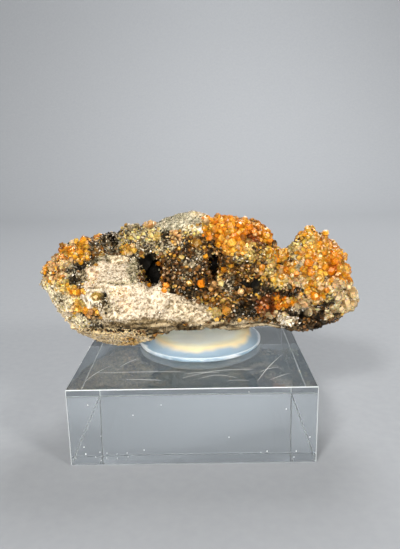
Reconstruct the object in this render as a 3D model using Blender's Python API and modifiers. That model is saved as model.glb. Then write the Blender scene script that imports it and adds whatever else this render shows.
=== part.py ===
"""Spessartine garnets on a feldspar and smoky quartz matrix, resting on an opal glass disc and a clear block.

Metres, +Z up. The origin is the centre of the block's base. +X runs along the specimen and +Y away
from its show face.
"""

import math
import random
from itertools import product

import bmesh
import bpy
from mathutils import Euler, Matrix, Vector

MM = 0.001

# Stand
BLOCK_SIDE = 76.2 * MM
BLOCK_HEIGHT = 25.4 * MM
BLOCK_CHAMFER = 0.25 * MM
DISC_CENTRE = (2.4 * MM, 3.0 * MM)
DISC_FOOT_RADIUS = 22.4 * MM
DISC_TOP_RADIUS = 19.8 * MM
DISC_HEIGHT = 4.0 * MM
DISC_EDGE_RADIUS = 1.1 * MM
DISC_EDGE_STEPS = 4
DISC_FOOT_LEVELS = ((0.5 * MM, 0.9 * MM), (0.0, 0.5 * MM), (0.3 * MM, 0.0))
DISC_STEPS = 32
TOUCH_GAP = 0.3 * MM

DISC_TOP_Z = BLOCK_HEIGHT + TOUCH_GAP + DISC_HEIGHT

# Matrix: each lump is a centre, three radii and a turn about Y, in millimetres and degrees
LUMPS = {
    "core": ((2, 5, 50), (43, 19, 14), 0),
    "left_lobe": ((-35, -1, 49.3), (17, 19, 13.5), 3),
    "left_shoulder": ((-35, 1, 58.6), (12, 13, 7.5), -22),
    "pale_bulge": ((-22, -11, 45.5), (25, 14.5, 12), 6),
    "left_belly": ((-26.5, -4, 36.8), (17.5, 17, 9.3), 6),
    "foot": ((-24, -3, 32), (11.5, 11, 6.6), 2),
    "ridge": ((-18, 4, 61.4), (13, 12, 8.4), 0),
    "peak": ((-1, 6, 63.4), (14, 13, 10.6), 0),
    "crown": ((15.5, 0, 61.8), (12, 14, 9.4), 0),
    "crown_step": ((24, 0, 57.6), (7, 12, 7.2), 20),
    "knob": ((42.5, -4, 52.5), (10.6, 14.5, 11), 12),
    "knob_top": ((40.3, -3, 61), (7.4, 9, 6.2), 20),
    "right_ledge": ((48.6, -3, 42.6), (8.8, 12.5, 6.4), 0),
    "right_lip": ((39.5, 0, 36), (14, 13.5, 5.4), -2),
    "pale_band": ((2, -12, 42.6), (24, 12, 6.6), 3),
    "seat": ((9, 6, 36), (27, 12.5, 6.4), 0),
    "back_mass": ((2, 15, 48), (41, 14, 13.5), 0),
    "back_right": ((33, 11, 46), (16.5, 13, 11), 0),
}
# Wide hollows cut into the matrix, in the same form
HOLLOWS = {
    "shoulder_notch": ((-26, -6, 65), (4.8, 9, 3.2), -10),
    "undercut": ((43, -16, 38.8), (12, 9.5, 2.4), 2),
    "show_hollow": ((11.5, -33, 53.8), (19, 25, 9.8), -4),
    "knob_hollow": ((31.5, -24, 52), (6, 14, 11), 0),
    "saddle": ((32, -4, 69), (4.6, 30, 7.5), 0),
}
# Broken faces: a point on each, and the way that it faces
BREAKS = (
    ((-30, 22, 40), (-0.35, 1, -0.35)),
    ((8, 27.5, 50), (0.1, 1, 0.12)),
    ((36, 21, 42), (0.5, 1, -0.4)),
    ((-12, 20, 62), (-0.25, 1, 0.9)),
    ((-50.5, 6, 44), (-1, 0.35, -0.3)),
    ((-22, -17, 35.2), (-0.1, -0.75, -1)),
)
# Narrow pits cut last, so that their edges stay sharp
PITS = {
    "deep_pit": ((-12.6, -15, 55.4), (2.7, 11, 5.3), 18),
    "slot_pit": ((7.6, -10, 57.2), (1.5, 9, 3.6), 0),
}
BREAK_REACH = 90 * MM
LUMP_VOXEL = 1.5 * MM
SMOOTH_PASSES = 4
WAVE_SIZE = 11 * MM
WAVE_HEIGHT = 3.2 * MM
CHIP_SIZE = 5.5 * MM
CHIP_HEIGHT = 1.5 * MM
MATRIX_FACES_KEPT = 0.068

# Crystal patches: a region (centre and radii, mm), crystal radii (mm), how crowded the crystals
# are (nearest and farthest neighbour, as a share of the two radii), how far each centre stands off
# the rock as a share of its radius, and a seed
GARNET_PATCHES = {
    "garnet_crown": (((16.5, -5, 65.5), (14, 13.5, 9)), (2.9, 3.8), (0.7, 0.78), 0.05, 11),
    "garnet_knob": (((44.5, -8.5, 55.5), (12.5, 12, 12.5)), (2.9, 3.9), (0.7, 0.78), 0.05, 23),
    "garnet_shoulder": (((-41.5, -8, 58), (13.5, 11, 9)), (2.8, 3.6), (0.7, 0.78), 0.0, 37),
    "garnet_ember": (((27.5, -17, 44.5), (7, 8, 4.5)), (1.9, 2.6), (0.7, 0.78), 0.15, 41),
}
DRUSE_PATCHES = (
    (((8, -12, 54), (21, 10, 11)), (1.7, 2.4), (1.4, 9), 0.1, 53),
    (((-37, -14, 43), (14, 11, 9)), (1.5, 2.2), (1.8, 9), 0.05, 59),
    (((-18, -2, 66), (12, 9, 5)), (1.8, 2.5), (1.1, 9), 0.1, 61),
    (((18, 28, 55), (15, 12, 9)), (2.0, 2.8), (1.3, 9), 0.05, 67),
)
SPOT_AREA = 0.3 * MM * MM
SEAT_CLEARANCE = (1.2 * MM, 0.6 * MM)
SEAT_CUT_DEPTH = 20 * MM
STAND_CUT_SIZE = (300 * MM, 300 * MM, 100 * MM)
TRAPEZOHEDRON_SHARE = 0.1
TAKEN_MARGIN = 1.3


def clear_scene():
    for old in list(bpy.data.objects):
        bpy.data.objects.remove(old, do_unlink=True)


def new_collection(name, shown=True):
    made = bpy.data.collections.new(name)
    bpy.context.scene.collection.children.link(made)
    made.hide_render = not shown
    return made


def material(name, colour, roughness, alpha=1.0):
    made = bpy.data.materials.new(name)
    made.use_nodes = True
    shader = made.node_tree.nodes["Principled BSDF"]
    shader.inputs["Base Color"].default_value = (*colour, 1.0)
    shader.inputs["Roughness"].default_value = roughness
    shader.inputs["Metallic"].default_value = 0.0
    shader.inputs["Alpha"].default_value = alpha
    made.diffuse_color = (*colour, alpha)
    return made


def add_object(name, mesh, collection):
    made = bpy.data.objects.new(name, mesh)
    collection.objects.link(made)
    return made


def mesh_from(name, bm):
    bmesh.ops.recalc_face_normals(bm, faces=bm.faces)
    mesh = bpy.data.meshes.new(name)
    bm.to_mesh(mesh)
    bm.free()
    return mesh


def evaluated_mesh(obj):
    """The object's mesh with its modifiers applied, as a new mesh."""
    graph = bpy.context.evaluated_depsgraph_get()
    graph.update()
    return bpy.data.meshes.new_from_object(obj.evaluated_get(graph), depsgraph=graph)


def apply_modifiers(obj):
    mesh = evaluated_mesh(obj)
    obj.modifiers.clear()
    obj.data = mesh
    obj.data.name = obj.name
    return obj


def merge_shells(obj):
    """Joins a mesh's overlapping shells into plain bodies, dropping what lies inside another."""
    nothing = bpy.data.collections.new("nothing")
    merge = obj.modifiers.new("merge", "BOOLEAN")
    merge.operation = "UNION"
    merge.operand_type = "COLLECTION"
    merge.collection = nothing
    merge.use_self = True
    apply_modifiers(obj)
    bpy.data.collections.remove(nothing)


def combine(obj, other, operation):
    """Applies a boolean with another object, then removes that object."""
    step = obj.modifiers.new(other.name, "BOOLEAN")
    step.operation = operation
    step.object = other
    apply_modifiers(obj)
    bpy.data.objects.remove(other)


def ellipsoid(bm, centre, radii, turn, subdivisions=3):
    """An icosphere drawn out to three radii, turned about Y and put in place."""
    placed = (
        Matrix.Translation(Vector(centre) * MM)
        @ Euler((0, math.radians(turn), 0)).to_matrix().to_4x4()
        @ Matrix.Diagonal((*(Vector(radii) * MM), 1.0))
    )
    bmesh.ops.create_icosphere(bm, subdivisions=subdivisions, radius=1.0, matrix=placed)


def add_block(collection):
    bpy.ops.mesh.primitive_cube_add(size=1.0)
    block = bpy.context.object
    block.name = "acrylic_block"
    block.data.transform(Matrix.Diagonal((BLOCK_SIDE, BLOCK_SIDE, BLOCK_HEIGHT, 1.0)))
    block.location = (0, 0, BLOCK_HEIGHT / 2)
    bevel = block.modifiers.new("chamfer", "BEVEL")
    bevel.width = BLOCK_CHAMFER
    bevel.segments = 1
    move_to(block, collection)
    block.data.materials.append(material("acrylic", (0.86, 0.89, 0.90), 0.03, 0.35))
    return block


def move_to(obj, collection):
    for other in list(obj.users_collection):
        other.objects.unlink(obj)
    collection.objects.link(obj)


def disc_profile():
    """The disc's outer side from the top's centre down to the foot's centre, as radius and height."""
    points = [(0.0, DISC_HEIGHT)]
    corner = (DISC_TOP_RADIUS - DISC_EDGE_RADIUS, DISC_HEIGHT - DISC_EDGE_RADIUS)
    for step in range(DISC_EDGE_STEPS + 1):
        angle = math.radians(90 - 80 * step / DISC_EDGE_STEPS)
        points.append(
            (
                corner[0] + DISC_EDGE_RADIUS * math.cos(angle),
                corner[1] + DISC_EDGE_RADIUS * math.sin(angle),
            )
        )
    for inset, level in DISC_FOOT_LEVELS:
        points.append((DISC_FOOT_RADIUS - inset, level))
    points.append((0.0, 0.0))
    return points


def add_disc(collection):
    """The opal glass disc, turned about its own axis."""
    bm = bmesh.new()
    verts = [bm.verts.new((radius, 0, height)) for radius, height in disc_profile()]
    for first, second in zip(verts, verts[1:]):
        bm.edges.new((first, second))
    mesh = bpy.data.meshes.new("opal_glass_disc")
    bm.to_mesh(mesh)
    bm.free()
    disc = add_object("opal_glass_disc", mesh, collection)
    disc.location = (*DISC_CENTRE, BLOCK_HEIGHT + TOUCH_GAP)
    screw = disc.modifiers.new("turned", "SCREW")
    screw.steps = DISC_STEPS
    screw.render_steps = DISC_STEPS
    screw.use_merge_vertices = True
    screw.merge_threshold = 0.00001
    disc.data.materials.append(material("opal_glass", (0.80, 0.87, 0.90), 0.12))
    return disc


def cloud_texture(name, kind, size):
    texture = bpy.data.textures.new(name, kind)
    texture.noise_scale = size
    return texture


def rock_body(collection):
    """The rock without its crystals: lumps fused, worn into waves and chips, and hollowed."""
    bm = bmesh.new()
    for centre, radii, turn in LUMPS.values():
        ellipsoid(bm, centre, radii, turn)
    rock = add_object("matrix_rock", mesh_from("matrix_rock", bm), collection)

    fuse = rock.modifiers.new("fuse", "REMESH")
    fuse.mode = "VOXEL"
    fuse.voxel_size = LUMP_VOXEL
    soften = rock.modifiers.new("soften", "SMOOTH")
    soften.factor = 0.5
    soften.iterations = SMOOTH_PASSES

    waves = rock.modifiers.new("waves", "DISPLACE")
    waves.texture = cloud_texture("waves", "CLOUDS", WAVE_SIZE)
    waves.texture_coords = "LOCAL"
    waves.strength = WAVE_HEIGHT
    waves.mid_level = 0.5
    apply_modifiers(rock)

    bm = bmesh.new()
    for centre, radii, turn in HOLLOWS.values():
        ellipsoid(bm, centre, radii, turn)
    hollows = add_object("hollows", mesh_from("hollows", bm), collection)
    merge_shells(hollows)
    combine(rock, hollows, "DIFFERENCE")
    again = rock.modifiers.new("fuse", "REMESH")
    again.mode = "VOXEL"
    again.voxel_size = LUMP_VOXEL
    chips = rock.modifiers.new("chips", "DISPLACE")
    chips.texture = cloud_texture("chips", "VORONOI", CHIP_SIZE)
    chips.texture_coords = "LOCAL"
    chips.strength = CHIP_HEIGHT
    chips.mid_level = 0.5
    fewer = rock.modifiers.new("fewer", "DECIMATE")
    fewer.ratio = MATRIX_FACES_KEPT
    apply_modifiers(rock)
    return rock


def cut_breaks(rock, collection):
    """Flattens the rock along its broken faces."""
    for point, facing in BREAKS:
        bm = bmesh.new()
        turn = Vector(facing).to_track_quat("Z", "Y").to_matrix().to_4x4()
        beyond = Matrix.Translation((0, 0, BREAK_REACH / 2))
        placed = Matrix.Translation(Vector(point) * MM) @ turn @ beyond
        bmesh.ops.create_cube(bm, size=BREAK_REACH, matrix=placed)
        combine(rock, add_object("break", mesh_from("break", bm), collection), "DIFFERENCE")


def cut_pits(rock, collection):
    bm = bmesh.new()
    for centre, radii, turn in PITS.values():
        ellipsoid(bm, centre, radii, turn, subdivisions=2)
    combine(rock, add_object("pits", mesh_from("pits", bm), collection), "DIFFERENCE")


def trim_to_stand(rock, cutters):
    """Cuts the rock's underside clear of the disc and of the block."""
    bm = bmesh.new()
    below = Matrix.Translation((0, 0, BLOCK_HEIGHT + TOUCH_GAP - STAND_CUT_SIZE[2] / 2))
    bmesh.ops.create_cube(bm, size=1.0, matrix=below @ Matrix.Diagonal((*STAND_CUT_SIZE, 1)))
    plane = add_object("block_clearance", mesh_from("block_clearance", bm), cutters)
    bm = bmesh.new()
    top = DISC_TOP_Z + TOUCH_GAP
    seat = Matrix.Translation((*DISC_CENTRE, top - SEAT_CUT_DEPTH / 2))
    bmesh.ops.create_cone(
        bm,
        cap_ends=True,
        segments=DISC_STEPS,
        radius1=DISC_FOOT_RADIUS + SEAT_CLEARANCE[0],
        radius2=DISC_FOOT_RADIUS + SEAT_CLEARANCE[1],
        depth=SEAT_CUT_DEPTH,
        matrix=seat,
    )
    seat_cut = add_object("disc_clearance", mesh_from("disc_clearance", bm), cutters)
    combine(rock, plane, "DIFFERENCE")
    combine(rock, seat_cut, "DIFFERENCE")


def corner_point(signs, axes, reach):
    """A point with the given signs on some of its axes, each at the same reach, and 0 on the rest."""
    point = Vector((0, 0, 0))
    for axis in axes:
        point[axis] = signs[axis] * reach
    return point


def dodecahedron_faces():
    """A garnet's twelve rhombic faces, one unit from the centre to the four-fold corners."""
    faces = []
    for first, second, third in ((0, 1, 2), (1, 2, 0), (2, 0, 1)):
        for signs in product((-1, 1), repeat=2):
            near = {first: signs[0], second: signs[1], third: -1}
            far = {**near, third: 1}
            faces.append(
                (
                    corner_point(near, (first,), 1),
                    corner_point(near, (0, 1, 2), 1 / 2),
                    corner_point(near, (second,), 1),
                    corner_point(far, (0, 1, 2), 1 / 2),
                )
            )
    return faces


def trapezohedron_faces():
    """A garnet's twenty-four kite faces, one unit from the centre to the four-fold corners."""
    faces = []
    for first, second, third in ((0, 1, 2), (1, 2, 0), (2, 0, 1)):
        for signs in product((-1, 1), repeat=3):
            faces.append(
                (
                    corner_point(signs, (first,), 1),
                    corner_point(signs, (first, second), 2 / 3),
                    corner_point(signs, (0, 1, 2), 1 / 2),
                    corner_point(signs, (first, third), 2 / 3),
                )
            )
    return faces


def add_crystal(bm, faces, centre, turn, size):
    """One crystal as a closed shell of its own."""
    verts = {}
    for face in faces:
        for corner in face:
            key = tuple(round(value, 3) for value in corner)
            if key not in verts:
                verts[key] = bm.verts.new(centre + turn @ (corner * size))
        bm.faces.new([verts[tuple(round(value, 3) for value in corner)] for corner in face])


def depth_in_region(spot, region):
    """0 at the middle of a region, 1 at its edge, and more outside."""
    centre, radii = (Vector(part) * MM for part in region)
    return Vector([(spot[axis] - centre[axis]) / radii[axis] for axis in range(3)]).length


def surface_spots(rock_mesh, region, rng):
    """Spots on the rock inside a region with their normals, from its middle outwards."""
    spots = []
    for face in rock_mesh.polygons:
        corners = [rock_mesh.vertices[index].co for index in face.vertices]
        for _ in range(math.ceil(face.area / SPOT_AREA)):
            weights = [rng.random() for _ in corners]
            spot = sum((corner * weight for corner, weight in zip(corners, weights)), Vector())
            spot /= sum(weights)
            away = depth_in_region(spot, region)
            if away < 1:
                spots.append((away, spot, face.normal.copy()))
    spots.sort(key=lambda found: found[0])
    return [(spot, normal) for _, spot, normal in spots]


def crystal_patch(name, rock_mesh, patch, collection, taken=()):
    """A mesh object of garnets on one region of the rock, none of them in a region already taken."""
    region, sizes, (near, far), stand_off, seed = patch
    rng = random.Random(seed)
    grown = []
    bm = bmesh.new()
    for spot, normal in surface_spots(rock_mesh, region, rng):
        if any(depth_in_region(spot, other) < TAKEN_MARGIN for other in taken):
            continue
        size = rng.uniform(*sizes) * MM
        centre = spot + normal * size * stand_off
        crowding = min(((centre - other).length / (size + reach) for other, reach in grown), default=near)
        if not near <= crowding <= far:
            continue
        grown.append((centre, size))
        habit = trapezohedron_faces() if rng.random() < TRAPEZOHEDRON_SHARE else dodecahedron_faces()
        turn = Euler([rng.uniform(0, 2 * math.pi) for _ in range(3)]).to_matrix()
        add_crystal(bm, habit, centre, turn, size)
    patch_object = add_object(name, mesh_from(name, bm), collection)
    merge_shells(patch_object)
    return patch_object


def keep_largest_body(obj):
    """Drops every loose body of a mesh but the one with most faces."""
    bm = bmesh.new()
    bm.from_mesh(obj.data)
    left = set(bm.faces)
    bodies = []
    while left:
        queue = [left.pop()]
        body = list(queue)
        while queue:
            face = queue.pop()
            for edge in face.edges:
                for other in edge.link_faces:
                    if other in left:
                        left.remove(other)
                        queue.append(other)
                        body.append(other)
        bodies.append(body)
    keep = set(max(bodies, key=len))
    lost = [face for face in bm.faces if face not in keep]
    bmesh.ops.delete(bm, geom=lost, context="FACES")
    bm.to_mesh(obj.data)
    bm.free()


def add_garnets(name, rock, patch, collection, cutters):
    """One cluster of grown-together garnets, cut clear of the rock that it sits on."""
    cluster = crystal_patch(name, rock.data, patch, collection)
    grown = add_object(name + "_clearance", rock.data.copy(), cutters)
    swell = grown.modifiers.new("swell", "DISPLACE")
    swell.strength = TOUCH_GAP
    swell.mid_level = 0.0
    apply_modifiers(grown)
    merge_shells(grown)
    combine(cluster, grown, "DIFFERENCE")
    keep_largest_body(cluster)
    cluster.data.materials.clear()
    cluster.data.materials.append(material(name, (0.82, 0.36, 0.06), 0.2))
    return cluster


def fuse_druse(rock, collection):
    """Joins the small crystals of the hollow, the left face, the ridge and the back to the rock."""
    taken = [patch[0] for patch in GARNET_PATCHES.values()]
    for patch in DRUSE_PATCHES:
        combine(rock, crystal_patch("druse", rock.data, patch, collection, taken), "UNION")
    keep_largest_body(rock)


def main():
    clear_scene()
    shown = new_collection("spessartine_specimen")
    cutters = new_collection("cutters", shown=False)
    add_block(shown)
    add_disc(shown)
    rock = rock_body(shown)
    cut_breaks(rock, cutters)
    cut_pits(rock, cutters)
    trim_to_stand(rock, cutters)
    for name, patch in GARNET_PATCHES.items():
        add_garnets(name, rock, patch, shown, cutters)
    fuse_druse(rock, cutters)
    rock.data.materials.clear()
    rock.data.materials.append(material("matrix", (0.62, 0.55, 0.47), 0.75))


main()
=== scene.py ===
"""Spessartine garnets on a feldspar and smoky quartz rock, on an opal glass disc and a clear block."""

import math

import bmesh
import bpy
import numpy as np
from mathutils import Matrix, Vector, kdtree, noise
from mathutils.bvhtree import BVHTree


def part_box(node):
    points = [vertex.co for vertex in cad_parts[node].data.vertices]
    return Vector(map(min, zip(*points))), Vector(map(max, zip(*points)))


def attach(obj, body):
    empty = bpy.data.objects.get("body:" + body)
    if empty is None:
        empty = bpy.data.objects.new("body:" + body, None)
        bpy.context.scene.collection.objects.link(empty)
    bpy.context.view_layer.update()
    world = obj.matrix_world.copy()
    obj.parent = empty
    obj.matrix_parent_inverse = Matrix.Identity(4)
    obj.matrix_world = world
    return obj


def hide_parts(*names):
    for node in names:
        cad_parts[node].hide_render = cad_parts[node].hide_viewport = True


MM = 0.001
RNG = np.random.default_rng(2024)

# The view of the show face, in millimetres and degrees, which also places the patches below
PICTURE = (400, 549)
EYE = (4.45, -184.94, 95.25)
PITCH, YAW, ROLL = 13.33, -0.51, -1.08
LENS, SENSOR = 34.81, 36.0
NEAR_CLIP = 0.005

# How far noise bends the outlines of patches, relief and the back's grounds, and how soft they are
PATCH_BEND, RELIEF_BEND, BACK_BEND = 2.6, 1.5, 3.0
PATCH_BLUR, MOST_BLUR = 2.2, 0.4
RELIEF_EDGE, RELIEF_FLAT = 1.25, 0.25

# Where the show face ends, in millimetres behind the middle, and the places of ground behind it
BACK_STARTS, BACK_FULL = 9.0, 16.0
BACK_SPOTS, BACK_SEED = 260, 7

# The rock's skin in millimetres: how fine it is, how far it sinks under its crystals, and the
# size and height of its grains, lumps and layers
ROCK_VOXEL = 0.55
SINK = 0.55
GRAIN_SIZE, GRAIN_LIFT, GRAIN_STEEPNESS = 1.3, 0.1, 1.7
LUMP_SIZE, LUMP_LIFT = 3.2, 0.42
LAYER_SPACING, LAYER_LIFT, LAYER_BEND = 2.3, 0.42, 2.2
STREAK_SQUEEZE = (0.16, 0.16, 0.9)

# How much some grounds have of each: no crystals to sink under, smoother lumps, layers, streaks
# of colour, and painted shade in the grooves between layers
BARE = {"feldspar": 1, "lip": 1, "band": 1}
SMOOTHER = {"feldspar": 0.5, "lip": 0.7}
LAYERED = {"lip": 1, "band": 0.5}
STREAKED = {"lip": 0.8, "band": 0.4}
GROOVE_SHADED = {"lip": 0.8, "band": 0.5}

# The rock's small and broad spots of colour, how its grains and the painted shade in its grooves
# show, and how red, green and blue darken
SPECKLE_SIZE, SPECKLE_EDGE = 0.85, 0.3
GRAIN_SHOW, GRAIN_SHADES, GROOVE_SHADE_RANGE = 0.15, (0.0, 0.7), (0.1, 0.8)
TONE_SIZE, TONE_STRENGTH = 6.0, 0.22
WARMTH = (1.0, 1.12, 1.35)

# How crystals are strewn: how many places are tried, how much commoner the small ones are, the
# room that each keeps, in its own radii, and how far they follow the speckle
CANDIDATES = 170000
SMALL_FAVOUR = 1.5
OWN_ROOM, ALONE_ROOM, NEIGHBOUR_ROOM = 0.70, 0.92, 0.36
LARGEST = 1.5
SPECKLE_BLUR, SPECKLE_LIMIT, SPECKLE_BIG = 0.15, 0.1, 0.75
DARK_HABITS = ("smoky", "brown", "ember")
CLUSTER_MARGIN = 1

# How crystals look: how deep they are rooted or stand out, in radii, how much painted shade darkens
# them at the root, how far painted light and shade varies from face to face, how even the large ones
# are, and the forms of broken grains and quartz
ROOTED = {"garnet": 0.3, "feldspar_grains": -0.05, "stone_grains": -0.05, "smoky_quartz": 0.15}
STAND_OUT = 0.45
ROOT_SHADE, ROOT_EDGE = 0.45, 0.6
FACET_PAINTED_LIGHT = (0.54, 1.36)
TINT_SHADES = (0.7, 1.1)
WELL_FORMED = 1.1
MEAN_STRETCH, EVEN_STRETCH, UNEVEN_STRETCH = 0.98, 0.06, 0.2
BROKEN_CORNERS, BROKEN_REACH, BROKEN_STRETCH = 9, (0.75, 1.05), (1.0, 0.85, 0.7)
QUARTZ_RADIUS, QUARTZ_HALF, QUARTZ_TIP = 0.62, 0.5, 1.15

# The stand in millimetres: the disc's flare and foot, the block's chamfer, scratches and specks
DISC_FLARE, DISC_FOOT_ROUND = 5.2, 0.7
FLARE_STEPS, FOOT_STEPS, TURN_STEPS = 12, 8, 160
BLOCK_CHAMFER = 0.25
SCRATCH_WIDTH, SCRATCH_RISE, SCRATCH_END, SCRATCH_STEPS = 0.2, 0.03, 0.15, 24
TOP_DUST, EDGE_NICKS, NICK_SINK, EDGE_MARGIN = 60, 26, 0.12, 1
FRONT_DUST_SIZES, TOP_DUST_SIZES, NICK_SIZES = (0.2, 0.36), (0.08, 0.2), (0.2, 0.42)

# The range that most of a material's noise lies in, the block's haze and worn edges, and how far
# the disc's colours reach, in radii, and waver
NOISE_RANGE = (0.3, 0.7)
HAZE, EDGE_ROUGHNESS, EDGE_CLEARNESS, EDGE_BLUR = 0.05, 0.4, 0.5, 0.1
OPAL_REACH, OPAL_RIPPLE = 1.02, 0.05

# The room in metres: the floor, and the bend by which it rises into the backdrop
ROOM_HALF_WIDTH, ROOM_FRONT, ROOM_BACK, ROOM_HEIGHT = 2.4, -2.6, 0.55, 1.4
ROOM_BEND, ROOM_STEPS = 0.35, 12
ROOM_DROP = 0.0002
SKY_COLOUR, SKY_STRENGTH = (1.0, 0.97, 0.93, 1), 0.11

# The lamps: place and size in metres, power in watts, colour and spread in degrees
LAMPS = (
    ("key", (-0.55, -1.06, 1.06), 0.26, 15.0, (1.0, 0.96, 0.90), 180),
    ("side", (1.02, -0.87, 0.75), 0.26, 10.5, (1.0, 0.95, 0.88), 180),
    ("front", (0.05, -1.7, 0.66), 0.34, 5.4, (1.0, 0.97, 0.93), 90),
    ("low", (-0.4, -1.45, 0.3), 0.3, 1.5, (1.0, 0.96, 0.90), 60),
    ("rim", (0.16, 0.62, 0.76), 0.35, 6.0, (1.0, 0.98, 0.95), 180),
)
LAMPS_AIM = (0, 0, 0.05)

# Crystal tints by habit, in pairs that each crystal mixes
TINTS = {
    "vivid": ((0.90, 0.25, 0.003), (1.0, 0.46, 0.02)),
    "gold": ((0.86, 0.36, 0.012), (1.0, 0.62, 0.10)),
    "amber": ((0.44, 0.16, 0.008), (0.90, 0.50, 0.08)),
    "yellow": ((0.64, 0.42, 0.09), (1.0, 0.78, 0.32)),
    "pink": ((0.82, 0.42, 0.14), (1.0, 0.74, 0.40)),
    "brown": ((0.022, 0.008, 0.002), (0.32, 0.13, 0.022)),
    "ember": ((0.09, 0.013, 0.001), (0.46, 0.11, 0.006)),
    "cream": ((0.40, 0.32, 0.21), (0.86, 0.74, 0.56)),
    "buff": ((0.66, 0.42, 0.17), (1.0, 0.82, 0.50)),
    "tan": ((0.16, 0.105, 0.05), (0.52, 0.38, 0.21)),
    "sage": ((0.05, 0.05, 0.025), (0.42, 0.39, 0.25)),
    "smoky": ((0.003, 0.003, 0.002), (0.05, 0.042, 0.028)),
    # glint: near-white grains, which on the rock partly stand in as painted highlights where sparkles show
    "glint": ((0.72, 0.68, 0.60), (0.93, 0.90, 0.84)),
}
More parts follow.
